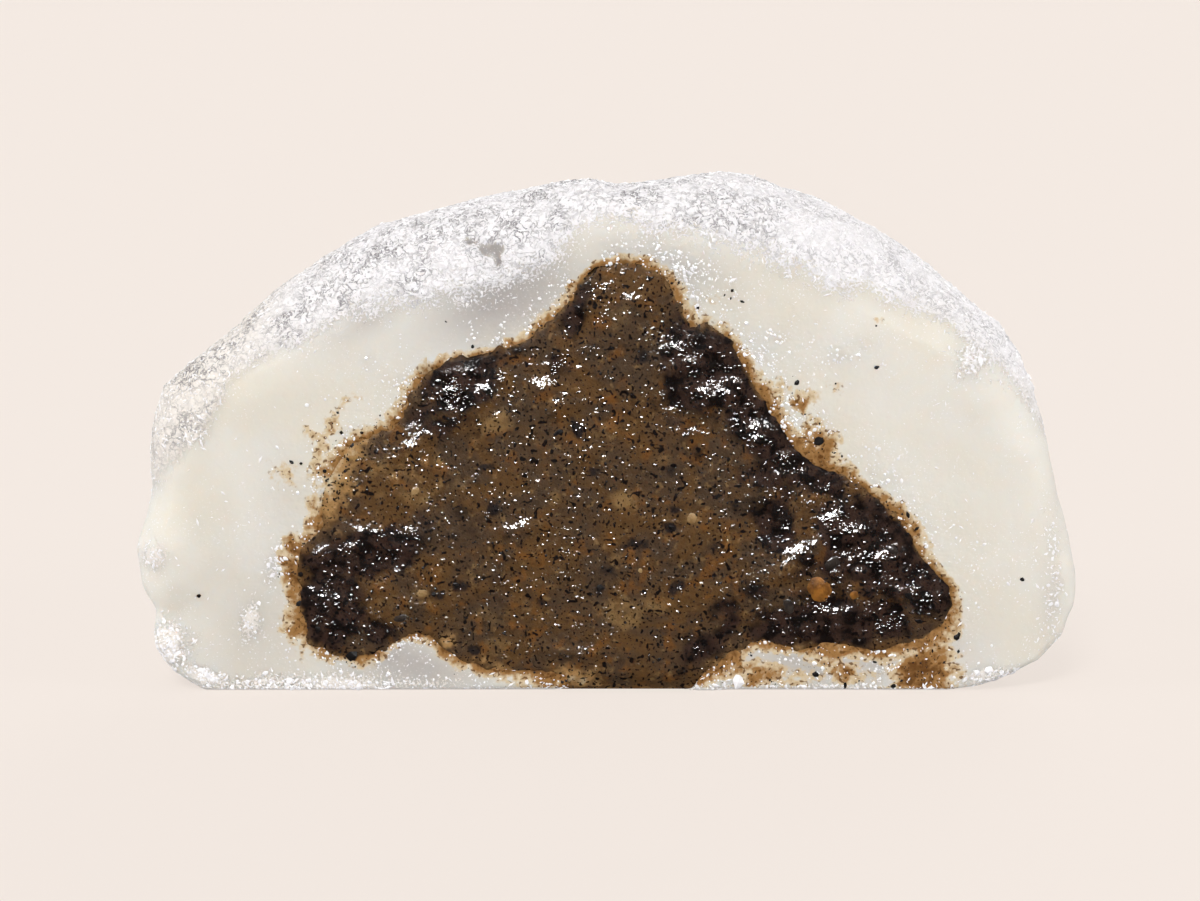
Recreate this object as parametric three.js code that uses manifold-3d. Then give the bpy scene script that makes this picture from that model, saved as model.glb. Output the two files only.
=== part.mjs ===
// A half of a mochi rice cake: a soft dough wall around a lump of ground sesame filling.
// Millimetres, +Z up. The cut face looks along -Y, and the cake stands on its flat base at z = 0.
// Until the last lines, x = 0 is the middle of the cut face and y = 0 is the plane of the cut.
import * as THREE from 'three';
import { mergeVertices } from 'three/addons/utils/BufferGeometryUtils.js';
import Module from 'manifold-3d';

const HALF_WIDTH = 30.2; // of the whole cake, at its widest
const HEIGHT = 32.8;
const DEPTH = 29; // from the cut back to the farthest point of the skin
const WIDEST_HEIGHT = 8.6; // where the sides stand out farthest
const FILLING_DEPTH = 18.5;
const FILLING_CENTRE = new THREE.Vector2(0, 11.5);
const FILLING_BULGE = 0.6; // how far the filling swells out of the cut
const FILLING_COLLAR = 0.8; // how far back the filling keeps the outline that the cut shows
const GAP = 0.3; // clearance between the filling and its hollow

// The cut face's outer edge, as shares of the half width and the height, from the base's left end
// over the top to its right end. The top has two low crowns with a saddle between them.
const CAKE_EDGE = [
  [-0.865, 0], [-0.935, 0.042], [-0.976, 0.112], [-1, 0.262], [-0.98, 0.385], [-0.976, 0.515],
  [-0.945, 0.592], [-0.785, 0.722], [-0.645, 0.817], [-0.51, 0.889], [-0.345, 0.931],
  [-0.17, 0.97], [-0.04, 0.994], [0.045, 0.984], [0.18, 1], [0.305, 0.995], [0.45, 0.951],
  [0.585, 0.884], [0.71, 0.803], [0.835, 0.712], [0.887, 0.64], [0.927, 0.515], [0.962, 0.385],
  [1, 0.21], [0.972, 0.115], [0.905, 0.052], [0.77, 0],
];

// The filling's edge on the cut face, in millimetres from the middle of the base, the same way round:
// a blunt left end, a stepped slope up to a round peak, a long slope down to a point on the right,
// a scalloped underside, and a foot that reaches down to the base.
const FILLING_EDGE = [
  [-2.4, 0], [-2.9, 1.3], [-7, 1.5], [-10, 2.4], [-11.9, 4], [-13.6, 3.5], [-15.3, 2.5],
  [-17.7, 2.6], [-19.3, 4.3], [-19.5, 8.4], [-18, 10.8], [-17.6, 14], [-16.2, 15.9],
  [-13.3, 17.2], [-12.5, 19], [-10.8, 20.8], [-8.1, 21.5], [-5.6, 22.3], [-3.5, 23.6],
  [-1.9, 25.3], [-1.5, 26.8], [0.2, 27.5], [2.7, 27.2], [3.9, 25.6], [5.1, 23.3], [7.3, 22.9],
  [8.9, 20.3], [10.7, 17.4], [12.7, 14.9], [15.6, 13.6], [18, 11.6], [19.8, 8.8], [21.9, 6.6],
  [21.5, 4.4], [19.4, 3.4], [17.3, 2.7], [14.3, 3.3], [12.2, 2.7], [9.9, 3.5], [7.2, 2.2],
  [5.9, 0.9], [4.8, 0],
];

const CAKE_ROWS = { face: 2, roll: 6, dome: 14 };
const CAKE_COLUMNS = 76;
const FILLING_ROWS = { face: 3, collar: 1, back: 9 };
const FILLING_COLUMNS = 84;

// Evenly spaced points round an edge that closes along the base.
function pointsRound(edge, count) {
  const [first, ...others] = edge.map(([x, z]) => new THREE.Vector2(x, z));
  const shape = new THREE.Shape();
  shape.moveTo(first.x, first.y);
  shape.splineThru(others);
  shape.closePath();
  const points = shape.getSpacedPoints(count).slice(0, count);
  return THREE.ShapeUtils.isClockWise(points) ? points.reverse() : points;
}

// The same points moved outwards by a distance, square to the edge.
function grownPoints(points, distance) {
  const count = points.length;
  return points.map((point, i) => {
    const along = points[(i + 1) % count].clone().sub(points[(i + count - 1) % count]).normalize();
    return new THREE.Vector2(point.x + along.y * distance, point.y - along.x * distance);
  });
}

// A closed body on a ball's net: each row of the net is a ring, and its two poles are the front
// and the back. placeAt gives the point of a row and a column.
function bodyFromRings(columns, rows, placeAt) {
  const geometry = new THREE.SphereGeometry(1, columns, rows);
  const { position, uv } = geometry.attributes;
  for (let i = 0; i < position.count; i += 1) {
    const row = Math.round((1 - uv.getY(i)) * rows);
    const column = (Math.round(uv.getX(i) * columns) + columns) % columns;
    const place = placeAt(row, column);
    position.setXYZ(i, place.x, place.y, place.z);
  }
  geometry.deleteAttribute('normal');
  geometry.deleteAttribute('uv');
  return mergeVertices(geometry, 1e-4);
}

// How far the knife has dragged the skin over the edge of the cut: far along the top, except at the
// saddle, less down the sides, and hardly at all along the base.
function rollRadius(edgePoint) {
  const height = THREE.MathUtils.clamp(edgePoint.y / HEIGHT, 0, 1);
  const saddle = Math.exp(-(((edgePoint.x - 1.5) / 4.5) ** 2)) * THREE.MathUtils.smoothstep(height, 0.8, 1);
  const side = edgePoint.x < 0 ? 3.6 : 2.6;
  const low = THREE.MathUtils.lerp(0.5, side, THREE.MathUtils.smoothstep(height, 0.02, 0.4));
  const high = THREE.MathUtils.lerp(low, 6.2, THREE.MathUtils.smoothstep(height, 0.45, 0.9));
  return high - 2.6 * saddle;
}

// The even outline that the cake has away from the cut, in a direction from its centre: a dome above,
// and a flat underside with rounded corners below.
function evenOutline(direction) {
  const above = direction.y > 0;
  const power = above ? 2.3 : 4;
  const halfWidth = 0.985 * HALF_WIDTH;
  const halfHeight = above ? HEIGHT - WIDEST_HEIGHT : WIDEST_HEIGHT;
  const sum = Math.abs(direction.x / halfWidth) ** power + Math.abs(direction.y / halfHeight) ** power;
  return direction.clone().multiplyScalar(sum ** (-1 / power));
}

// The whole half cake as one body, without its hollow.
function cakeBody() {
  const centre = new THREE.Vector2(0, WIDEST_HEIGHT);
  const scaled = CAKE_EDGE.map(([x, z]) => [x * HALF_WIDTH, z * HEIGHT]);
  const edge = pointsRound(scaled, CAKE_COLUMNS);
  const flatten = 1.5; // holds the underside down on the base until it is near the back
  const { face, roll, dome } = CAKE_ROWS;
  return bodyFromRings(CAKE_COLUMNS, face + roll + dome, (row, column) => {
    const outward = edge[column].clone().sub(centre);
    const reach = outward.length();
    const radius = rollRadius(edge[column]);
    if (row <= face + roll) {
      const turn = (Math.max(0, row - face) / roll) * (Math.PI / 2);
      const inset = radius * (1 - Math.sin(turn));
      const place = outward.multiplyScalar(Math.min(1, row / face) * (1 - inset / reach)).add(centre);
      return new THREE.Vector3(place.x, radius * (1 - Math.cos(turn)), place.y);
    }
    const turn = ((row - face - roll) / dome) * (Math.PI / 2);
    const back = Math.sin(turn);
    const evened = THREE.MathUtils.smoothstep(back, 0.05, 0.75);
    outward.lerp(evenOutline(outward), evened);
    const above = outward.y * (1 - back ** 2.3) ** (1 / 2.3);
    const below = (outward.y - flatten * (-outward.y / WIDEST_HEIGHT) ** 3) * (1 - back ** 4) ** (1 / 4);
    const z = centre.y + (outward.y > 0 ? above : below);
    return new THREE.Vector3(outward.x * Math.cos(turn), radius + (DEPTH - radius) * back, Math.max(0, z));
  });
}

// The lump of filling: the cut shows its uneven outline, and behind the cut it rounds off to an oval.
// grow widens it on all sides, and front is where the rim of its face lies along Y.
function fillingBody(grow, front) {
  const oval = new THREE.Vector2(17 + grow, 9.5 + grow);
  const edge = grownPoints(pointsRound(FILLING_EDGE, FILLING_COLUMNS), grow);
  const { face, collar, back } = FILLING_ROWS;
  return bodyFromRings(FILLING_COLUMNS, face + collar + back, (row, column) => {
    const outward = edge[column].clone().sub(FILLING_CENTRE);
    if (row <= face) {
      const share = row / face;
      const place = outward.multiplyScalar(share).add(FILLING_CENTRE);
      return new THREE.Vector3(place.x, front - FILLING_BULGE * (1 - share ** 2), place.y);
    }
    const turn = ((row - face - collar) / back) * (Math.PI / 2);
    const rounded = THREE.MathUtils.smoothstep(Math.sin(turn), 0, 0.9);
    const ovalPoint = outward.clone().normalize().multiply(oval);
    const place = outward.lerp(ovalPoint, rounded).multiplyScalar(Math.cos(turn) ** 0.8).add(FILLING_CENTRE);
    const depth = FILLING_COLLAR + (FILLING_DEPTH + grow - FILLING_COLLAR) * Math.sin(turn);
    return new THREE.Vector3(place.x, depth, place.y);
  });
}

function toSolid(wasm, geometry) {
  const mesh = new wasm.Mesh({
    numProp: 3,
    vertProperties: new Float32Array(geometry.attributes.position.array),
    triVerts: new Uint32Array(geometry.index.array),
  });
  return new wasm.Manifold(mesh);
}

function toGeometry(solid) {
  const mesh = solid.getMesh();
  const geometry = new THREE.BufferGeometry();
  geometry.setAttribute('position', new THREE.BufferAttribute(mesh.vertProperties, 3));
  geometry.setIndex(new THREE.BufferAttribute(mesh.triVerts, 1));
  return geometry;
}

// A block that holds everything below the base, to trim what grows past it.
function blockBelowBase() {
  const size = 4 * HALF_WIDTH;
  const block = new THREE.BoxGeometry(size, size, size);
  block.translate(0, 0, -size / 2);
  block.deleteAttribute('normal');
  block.deleteAttribute('uv');
  return mergeVertices(block);
}

function named(name, geometry, color, roughness) {
  const mesh = new THREE.Mesh(geometry, new THREE.MeshStandardMaterial({ color, roughness, metalness: 0 }));
  mesh.name = name;
  return mesh;
}

const wasm = await Module();
wasm.setup();

const hollow = toSolid(wasm, fillingBody(GAP, -2));
const dough = toSolid(wasm, cakeBody()).subtract(hollow);
const filling = toSolid(wasm, fillingBody(0, 0)).subtract(toSolid(wasm, blockBelowBase()));

const halfCake = new THREE.Group();
halfCake.add(named('mochi_dough', toGeometry(dough), 0xe9e7e0, 0.5));
halfCake.add(named('sesame_filling', toGeometry(filling), 0x5a4531, 0.25));

// The finished part has its origin under the middle of its own box.
const box = new THREE.Box3().setFromObject(halfCake, true);
const middle = box.getCenter(new THREE.Vector3());
halfCake.position.set(-middle.x, -middle.y, -box.min.z);
halfCake.updateMatrixWorld(true);

export default halfCake;
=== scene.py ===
import itertools
import math
from functools import partialmethod

import bpy
import numpy as np
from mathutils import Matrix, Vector
from mathutils.bvhtree import BVHTree


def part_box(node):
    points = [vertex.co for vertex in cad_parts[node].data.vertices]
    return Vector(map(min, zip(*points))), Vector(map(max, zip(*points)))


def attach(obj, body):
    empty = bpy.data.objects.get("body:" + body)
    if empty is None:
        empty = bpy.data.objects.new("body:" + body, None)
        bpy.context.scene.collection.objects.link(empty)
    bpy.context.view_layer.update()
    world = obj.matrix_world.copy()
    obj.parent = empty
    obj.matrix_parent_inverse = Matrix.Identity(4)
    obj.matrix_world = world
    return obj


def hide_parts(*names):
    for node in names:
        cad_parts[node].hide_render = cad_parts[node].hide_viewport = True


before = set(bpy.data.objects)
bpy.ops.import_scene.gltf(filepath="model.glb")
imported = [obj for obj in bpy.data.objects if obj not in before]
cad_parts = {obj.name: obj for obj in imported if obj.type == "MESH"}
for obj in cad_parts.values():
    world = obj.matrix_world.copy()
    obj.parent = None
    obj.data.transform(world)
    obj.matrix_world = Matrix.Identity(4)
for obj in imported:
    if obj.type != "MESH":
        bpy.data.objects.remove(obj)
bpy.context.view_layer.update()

# A half of a mochi rice cake, cut side towards -Y. Shapes are worked out in millimetres, x across the cut,
# y into the cake and z up, and go into the scene in metres.
MM = 0.001
BODY = "root"

dough_low, dough_high = (np.array(corner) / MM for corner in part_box("mochi_dough"))
filling_low, filling_high = (np.array(corner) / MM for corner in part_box("sesame_filling"))
CUT = dough_low[1]  # the plane of the cut
CAMERA_TILT = math.radians(8)  # how far the camera looks down

# ------------ where things are on the cut, in (x, z)

# The flour of the skin reaches down over the cut to this line, from the left side to the right.
FLOUR_LINE = (
    (-30, 12.6), (-27.5, 15), (-25.8, 16.9), (-24.2, 19.7), (-19.8, 22.6), (-13.4, 25.1), (-7, 25.7),
    (-4.4, 27.3), (-0.6, 29.9), (2.5, 30.1), (5.8, 29.6), (9.7, 28.2), (14.8, 25.9), (20, 24.5),
    (22.3, 23), (24.7, 21), (27, 18.2), (30, 14.5),
)

# Spots are (x, z, half width, half height, turn in degrees, strength).
FLOUR_PATCHES = (
    (-28.4, 2.9, 1.5, 1.7, -40, 1.1), (-26, 1, 2, 0.6, -20, 0.9), (-19, 0.4, 9, 0.7, 0, 0.9),
    (-29.2, 8.7, 0.9, 1, 0, 0.8), (-23, 4.6, 0.6, 1.3, -10, 0.85), (-21.3, 8.3, 0.6, 1.4, -20, 0.7),
    (23.2, 21.6, 1.1, 1.2, 0, 0.9), (24.4, 1, 2.4, 0.6, 8, 0.85), (14, 0.2, 12, 0.3, 0, 0.7),
    (28.6, 7, 0.8, 6, 0, 0.45),
)
# Oil and paste smeared on the dough.
SMEARS = (
    # down the left side
    (-3, 24.8, 1.6, 0.4, 55, 1), (-4.6, 23.4, 1.8, 0.5, 42, 0.9), (-11.4, 20.6, 1.5, 0.5, 38, 0.8),
    (-16.3, 19, 1, 0.35, 52, 0.7), (-17.5, 17.4, 1.1, 0.4, 60, 0.9), (-14.4, 16.9, 2, 0.8, 38, 0.9),
    (-18.3, 15.9, 0.5, 0.7, 0, 1), (-21, 14.2, 0.7, 0.7, 0, 0.5), (-18.7, 13.6, 0.35, 1.4, 0, 0.8),
    (-22.3, 11.1, 0.5, 0.3, 0, 0.6), (-18.7, 11, 0.6, 1.6, 0, 1), (-20.1, 9.3, 0.8, 0.9, 0, 1.4),
    (-20.4, 7.8, 0.6, 1.3, 10, 1.2), (-25.4, 6.7, 0.5, 0.4, 0, 0.35), (-20.2, 4.3, 0.8, 1.1, 0, 1.2),
    (-20, 3.9, 1, 0.5, -20, 0.7), (-19.3, 2.4, 0.6, 0.7, 0, 0.6), (-16.4, 2.4, 1.4, 0.6, -10, 1.3),
    # down the right side
    (4.4, 26, 0.6, 1.5, 25, 0.7), (7, 25.3, 1.2, 0.4, -15, 0.5), (6, 23.9, 1.4, 0.4, -10, 0.5),
    (17.3, 23.9, 0.45, 0.3, 0, 0.6), (15, 20, 1.6, 0.35, 14, 0.7), (12.2, 18.8, 0.8, 0.9, -10, 1.3),
    (13.4, 16.4, 0.9, 0.9, -10, 1.3), (13.7, 15.8, 0.8, 1, 20, 1.1), (18.7, 11.2, 2.1, 0.7, -48, 1.2),
    (19.8, 10.2, 2, 0.5, -58, 1.2), (19.8, 9.9, 1, 1, -40, 0.7), (20.9, 8.3, 0.5, 1.2, 20, 0.7),
    (21.6, 6.9, 0.4, 1.2, 25, 0.5), (21.7, 5.2, 0.8, 1.7, 20, 0.6), (21.9, 3.9, 0.6, 0.8, 0, 1),
    (19.6, 3.8, 1.5, 0.5, -30, 0.5), (22.5, 3.7, 0.4, 0.4, 0, 0.8),
    # along the foot
    (-7.2, 1.3, 1.6, 0.7, -15, 0.6), (-3.9, 0.9, 1.4, 0.8, 0, 1.4), (7.7, 1.7, 1.2, 0.9, 38, 1.4),
    (9.2, 0.8, 0.9, 0.8, 0, 1.4), (10.5, 3, 0.9, 0.5, 0, 1), (11.4, 1.1, 1.4, 0.6, -20, 1.2),
    (12.4, 2.7, 1, 0.4, 0, 0.7), (14, 2.4, 0.9, 0.8, -20, 1.2), (15.3, 1.1, 0.9, 0.9, 0, 1),
    (20.2, 0.4, 2, 0.6, 0, 1.5), (20.3, 1.2, 1.9, 1.7, 35, 1.9), (21.9, 2.5, 0.6, 0.5, 30, 0.9),
)
# Where the dough's skin bulges out, or is pressed in: strength here is the height in millimetres.
BULGES = (
    (-30.2, 8.8, 3, 2, 0, 0.4), (-29.4, 5, 2.5, 1, 0, -0.5), (-29.6, 20.6, 1.4, 1.2, 0, -0.25),
    (29.8, 9, 2, 3, 0, 0.15),
)
# Where the dough is pressed flat beside the tongue of filling.
PRESSED_FOOT = (5.4, 0, 1.2, 0.8, 0, 0.6)
# Dimples of the floured skin: x, the height at which the camera sees them, half sizes, turn and depth.
DIMPLES = (
    (-7.5, 28.6, 1.1, 0.6, -20, 0.55), (-8.6, 29.1, 0.6, 0.25, -10, 0.4), (-7, 27.9, 0.35, 0.6, 0, 0.45),
)
# Where the cut dough is greyer, partly in its own colour and partly as painted shade; the first of these is
# pressed in as well.
COOL_DENTS = (
    (-6.4, 25.4, 5, 2.4, 24, 1), (-13, 1.9, 5, 1.5, -12, 0.9), (-15.5, 24, 3.2, 1.5, 25, 0.45),
    (2.4, 27.8, 5.5, 1.5, -12, 0.4), (14, 1.8, 7.5, 1.6, 0, 0.75), (21.5, 2.5, 3.5, 2.5, 0, 0.3),
    (-20.5, 11.5, 2, 4, 0, 0.2), (-22.5, 4.5, 4, 5, 0, 0.3),
)
# Where the cut dough is wet.
WET_STREAKS = (
    (9.3, 21.5, 1.7, 0.4, -30, 1), (13, 22.1, 4.2, 1, -8, 0.9), (11.6, 18.4, 0.6, 1.7, 20, 1),
    (14.2, 16.8, 1.3, 1.2, 0, 0.8), (-8.8, 21.8, 5.2, 0.5, 17, 0.9), (5, 26.8, 3.2, 1.6, -25, 0.8),
    (16.5, 1.5, 3, 0.9, 0, 1), (11, 2.2, 3, 0.8, 0, 0.7), (-19.3, 2, 1.2, 0.7, 0, 0.9),
    (20.3, 6, 0.7, 2, 0, 0.5),
)
# Where the paste is nearly black and lumpy, and where it is smooth.
DARK_ZONES = (
    (-9.2, 20.1, 3.6, 2, 40, 1), (-2.2, 24.6, 0.9, 2, -8, 0.8), (-3.2, 21.4, 0.9, 1, 0, 0.6),
    (6.3, 21.3, 2.3, 3.6, 30, 1), (10, 17.2, 2.8, 1.8, -42, 1.2), (12.8, 14.4, 3.4, 1.4, -36, 0.9),
    (17.2, 9, 5.6, 3, -38, 1), (20.6, 6.6, 2.4, 2.4, 0, 0.9), (14.8, 4.6, 6.5, 1.8, 4, 0.85),
    (6.8, 3.3, 3, 1, 40, 0.7), (9.4, 6.6, 1, 0.7, 0, 0.7), (10.8, 11, 1.6, 2, 0, 0.7),
    (7.5, 5.2, 2, 1.6, 0, 0.35), (6, 16.6, 2.4, 1.6, -30, 0.4), (10.3, 14.2, 1.6, 1.4, -30, 0.6),
    (4.6, 20, 1.6, 2, 0, 0.55), (-10.5, 17.5, 2, 1.2, 35, 0.6), (-15.6, 9, 4.2, 1.6, 14, 1),
    (-17.7, 5.6, 2.2, 3.4, 0, 0.95), (-14.6, 3.8, 1.8, 1, 10, 0.6),
)
SMOOTH_ZONES = (
    (4, 2.4, 4.6, 3, 18, 1), (3, 12, 4, 4, 0, 0.3),
)
# Where the paste is a thin, clear film.
FILM_ZONES = (
    (-17.6, 14.2, 1.5, 3, -6, 1.1), (-16.4, 15.6, 1.8, 0.9, 40, 0.9), (-10.2, 3.3, 0.8, 0.6, -30, 0.8),
    (-7.6, 1.8, 1.6, 0.5, -20, 0.7), (8.2, 2, 1.2, 0.9, 20, 0.6), (12.2, 3, 0.9, 0.5, 0, 0.5),
    (-1.9, 0.7, 1.5, 0.8, 0, 1.1), (-12.5, 14.3, 2.8, 1.5, -15, 0.45),
)
# Where the filling is pressed out further over the dough: strength here is the width in millimetres.
SPREADS = (
    (6.3, 23.4, 1.4, 0.9, -35, 0.5), (19.8, 10.3, 1.8, 1.2, -50, 0.4), (-3.4, 24.6, 1.6, 1, 45, 0.25),
    (-8.4, 21.8, 3.5, 1.2, 22, 0.2), (-18.9, 9, 1, 1.4, 0, 0.45), (3.6, 25.8, 1.6, 1, -60, 0.25),
    (-0.2, 27, 1.5, 0.9, 0, -0.25), (-18.3, 12.8, 0.9, 1.6, 0, 0.5), (-19.3, 3.4, 0.9, 0.8, 0, 0.35),
    (-17.2, 2.2, 1.6, 0.7, -15, 0.2),
)
# Softened nut that shows through the paste, and smudges of blacker paste.
CREAM_SPOTS = (
    (-3.3, 12.7, 0.6, 0.5, 0, 0.7), (1.1, 12.5, 1.2, 0.8, 10, 0.8), (5.3, 11.4, 0.7, 0.55, 0, 1),
    (0.6, 8.8, 0.5, 0.4, 0, 0.6), (3.2, 5.8, 1.3, 0.9, 0, 0.7), (0.9, 5.1, 1.9, 1.2, 0, 0.8),
    (-7.5, 5.2, 1.3, 1, 0, 0.6), (-12.1, 12.8, 1.4, 0.8, -20, 1), (-15.2, 13.1, 1.2, 0.9, 0, 0.6),
    (-14.9, 14.7, 1.4, 0.9, 0, 0.6), (-11.9, 6.5, 0.8, 0.35, 10, 1), (0.8, 24.2, 1.2, 1.6, 0, 0.5),
    (3.3, 15.1, 1, 0.7, 0, 0.6), (-0.3, 16.9, 1.1, 0.7, 0, 0.5), (-7.2, 17.4, 1.5, 0.9, 30, 0.9),
    (-9.3, 13.7, 1, 0.7, 0, 0.6), (-7.3, 3, 1.2, 0.8, -30, 0.8), (-10.2, 3.6, 0.8, 0.6, 0, 0.8),
    (13.6, 5.2, 1.6, 0.7, 10, 0.35), (-14.4, 5.9, 1.2, 0.7, 0, 0.45), (10.9, 5.6, 1, 0.8, 0, 0.5),
)
SMUDGES = (
    (4, 10.7, 0.45, 0.4, 0, 1), (1.7, 9.7, 1, 0.45, 0, 0.8), (-0.5, 6.9, 0.5, 0.45, 0, 0.9),
    (4.5, 6.9, 0.7, 0.6, 0, 0.6), (-0.1, 8, 0.7, 0.5, 0, 0.6), (4.2, 11.9, 0.5, 0.3, 0, 0.8),
    (-4.2, 6, 0.8, 0.5, 0, 0.6), (4.2, 14.4, 0.4, 0.5, 0, 0.7), (-2, 17.2, 0.4, 0.8, 20, 1),
    (-7.6, 14.7, 0.7, 0.3, 0, 0.9), (-7.4, 12, 0.7, 0.5, 0, 0.7), (-9.9, 10.1, 0.6, 0.5, 0, 0.6),
    (-9.5, 7.1, 0.6, 0.5, 0, 0.8), (-11, 6.3, 0.5, 0.5, 0, 0.8), (-8.5, 2.7, 0.5, 0.35, 0, 0.9),
    (2.2, 21.8, 0.5, 0.7, 0, 0.6), (-1, 14.4, 0.8, 0.5, 0, 0.5), (6.8, 9.4, 0.8, 0.6, 0, 0.5),
)
# Lumps of the filling, which stand out of it: strength here is the height in millimetres.
LUMPS = (
    (-9.6, 18, 2.6, 1.1, 42, 0.5), (-4.2, 19.6, 0.9, 0.7, 0, 0.4), (-1.8, 25.6, 0.9, 1.1, 0, 0.4),
    (4.9, 21.4, 0.9, 1.2, 25, 0.45), (6.7, 18.8, 1, 1.1, 30, 0.45), (9.3, 16.3, 1.2, 0.9, -20, 0.45),
    (11.9, 8.4, 2.4, 0.8, 36, 0.6), (14.9, 10.4, 1.7, 0.8, -30, 0.45), (17.8, 8.4, 1.2, 1, 0, 0.45),
    (17, 6.4, 0.9, 0.8, 20, 0.4), (14.8, 5.2, 1.2, 0.7, 10, 0.3), (19.6, 5.9, 1.3, 0.9, -20, 0.35),
    (-12.6, 15.7, 0.7, 0.6, 0, 0.4), (-16.2, 9.8, 1.6, 1, 12, 0.22), (-12.2, 10, 1.7, 0.7, 20, 0.3),
    (-18.6, 8.8, 0.8, 0.8, 0, 0.35), (-2.6, 2.7, 3, 0.5, -3, 0.35), (-5.2, 10.7, 1.4, 0.6, 15, 0.3),
    (-3.4, 18.4, 1, 0.6, 15, 0.35), (1.8, 24.4, 1.6, 2.6, 0, 0.3),
)
# Bits that stand out by themselves, as (x, z, half length): black hulls, white crumbs at the foot,
# and in the paste amber nut, pale kernel and grey husk.
LONE_HULLS = (
    (17.1, 21, 0.22), (7.8, 25.4, 0.14), (7.4, 25.6, 0.12), (-10.3, 23.9, 0.12), (-8.6, 22.3, 0.14),
    (26.6, 7.3, 0.2), (13.4, 1.1, 0.3), (15.3, 0.35, 0.22), (18.4, 0.3, 0.25), (-16.6, 2.3, 0.5),
    (-26.3, 6.2, 0.26), (13.5, 16.3, 0.38), (12, 20, 0.25), (-20.2, 14.9, 0.16), (-17.5, 12.5, 0.18),
    (19.2, 11.5, 0.3), (19.8, 10.6, 0.18), (22.6, 3.7, 0.2), (7, 2.2, 0.2), (4.1, 10.7, 0.4),
    (-0.5, 6.9, 0.42), (-9.7, 7, 0.35), (-11.1, 6.4, 0.3), (-3.2, 16.9, 0.35), (-18.6, 4.1, 0.25),
    (-17, 16.8, 0.17), (-16.6, 15.1, 0.24), (-16.3, 16, 0.14), (-16.8, 14.3, 0.14), (-18.1, 14.3, 0.17),
    (-18, 13.7, 0.13), (-17.3, 13, 0.15), (-17.2, 12.6, 0.13), (-16.9, 12.3, 0.13), (-19.8, 7.6, 0.3),
    (-19.9, 5.7, 0.28), (-19.6, 14.8, 0.15), (-15.7, 16.8, 0.14), (-14.9, 16.4, 0.12),
    (-14.2, 15.6, 0.14), (-16, 13.4, 0.12), (-15.2, 12.6, 0.14), (7.9, 25.9, 0.2), (8.5, 25.2, 0.18),
    (5.7, 24.8, 0.15), (20, 4.6, 0.35), (19.3, 6.3, 0.3), (22.4, 3.5, 0.3), (17.2, 1.9, 0.18),
    (20.9, 2.6, 0.15),
)
LONE_CRUMBS = (
    (8.4, 0.6, 0.5), (13.3, 1.8, 0.18), (24.6, 1.4, 0.3), (23.8, 1.2, 0.25),
)
NUT_BITS = (
    (13.7, 6.8, 1.2), (15.8, 6.4, 0.5),
)
PALE_BITS = (
    (5.3, 11.4, 0.5), (-11.9, 6.5, 0.55), (-12.3, 13.1, 0.42), (2.1, 8, 0.3),
)
HUSKS = (
    (14.5, 8.5, 0.7), (11.6, 5.6, 0.55), (-13.3, 4.8, 0.5), (18.2, 9.3, 0.5),
)

# ------------ noise

GRADIENTS = np.random.default_rng(3).normal(size=(256, 3))
GRADIENTS /= np.linalg.norm(GRADIENTS, axis=1, keepdims=True)
JITTERS = np.random.default_rng(4).random((1024, 3))


def lattice_hash(cells, seed):
    """A whole number for each lattice corner that looks random but is always the same."""
    mixed = cells[:, 0] * 73856093 ^ cells[:, 1] * 19349663 ^ cells[:, 2] * 83492791 ^ (seed + 1) * 40503
    mixed = (mixed ^ (mixed >> 13)) * 1274126177
    return (mixed ^ (mixed >> 16)) & 0xFFFF


def noise(points, size, seed=0):
    """Smooth noise from about -1 to 1, with features about size across."""
    places = points / size
    cells = np.floor(places).astype(np.int64)
    inside = places - cells
    fade = inside**3 * (inside * (inside * 6 - 15) + 10)
    total = np.zeros(len(points))
    for corner in itertools.product((0, 1), repeat=3):
        step = np.array(corner)
        gradient = GRADIENTS[lattice_hash(cells + step, seed) & 255]
        weight = np.prod(np.where(step == 1, fade, 1 - fade), axis=1)
        total += weight * np.sum(gradient * (inside - step), axis=1)
    return total * 1.7


def rough_noise(points, size, seed=0, octaves=3):
    """Noise with finer and finer noise added to it."""
    total = np.zeros(len(points))
    for octave in range(octaves):
        total += noise(points, size / 2**octave, seed + 7 * octave) / 2**octave
    return total


def grain_distance(points, size, seed=0):
    """How far each point is from the middle of the nearest of many scattered grains, in grain sizes."""
    places = points / size
    cells = np.floor(places).astype(np.int64)
    nearest = np.full(len(points), 9.0)
    for step in itertools.product((-1, 0, 1), repeat=3):
        corner = cells + np.array(step)
        centre = corner + JITTERS[lattice_hash(corner, seed) & 1023]
        nearest = np.minimum(nearest, np.linalg.norm(places - centre, axis=1))
    return nearest


def ramp(values, start, end):
    """0 at start and before it, 1 at end and after it, and smooth between them."""
    share = np.clip((values - start) / (end - start), 0, 1)
    return share * share * (3 - 2 * share)


def spot_share(points, spot):
    """1 in the middle of a spot, falling to 0 outside it."""
    x, z, half_width, half_height, turn, _ = spot
    cosine, sine = math.cos(math.radians(turn)), math.sin(math.radians(turn))
    across, up = points[:, 0] - x, points[:, 2] - z
    along = (across * cosine + up * sine) / half_width
    over = (up * cosine - across * sine) / half_height
    return np.exp(-(along**2 + over**2))


def strongest(points, spots):
    """The largest of the spots' shares at each point, each times its spot's strength."""
    return np.max([spot_share(points, spot) * spot[5] for spot in spots], axis=0)


# ------------ meshes

MOST_TRIANGLES = 190000  # of one piece


def read(items, field, size, kind=float):
    """One field of a mesh's items, as an array with a row for each."""
    values = np.empty(len(items) * size, kind)
    items.foreach_get(field, values)
    return values.reshape(-1, size)


def read_points(mesh):
    return read(mesh.vertices, "co", 3)


def read_normals(mesh):
    return read(mesh.vertex_normals, "vector", 3)


def read_triangles(mesh):
    mesh.calc_loop_triangles()
    return read(mesh.loop_triangles, "vertices", 3, np.int32)


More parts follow.
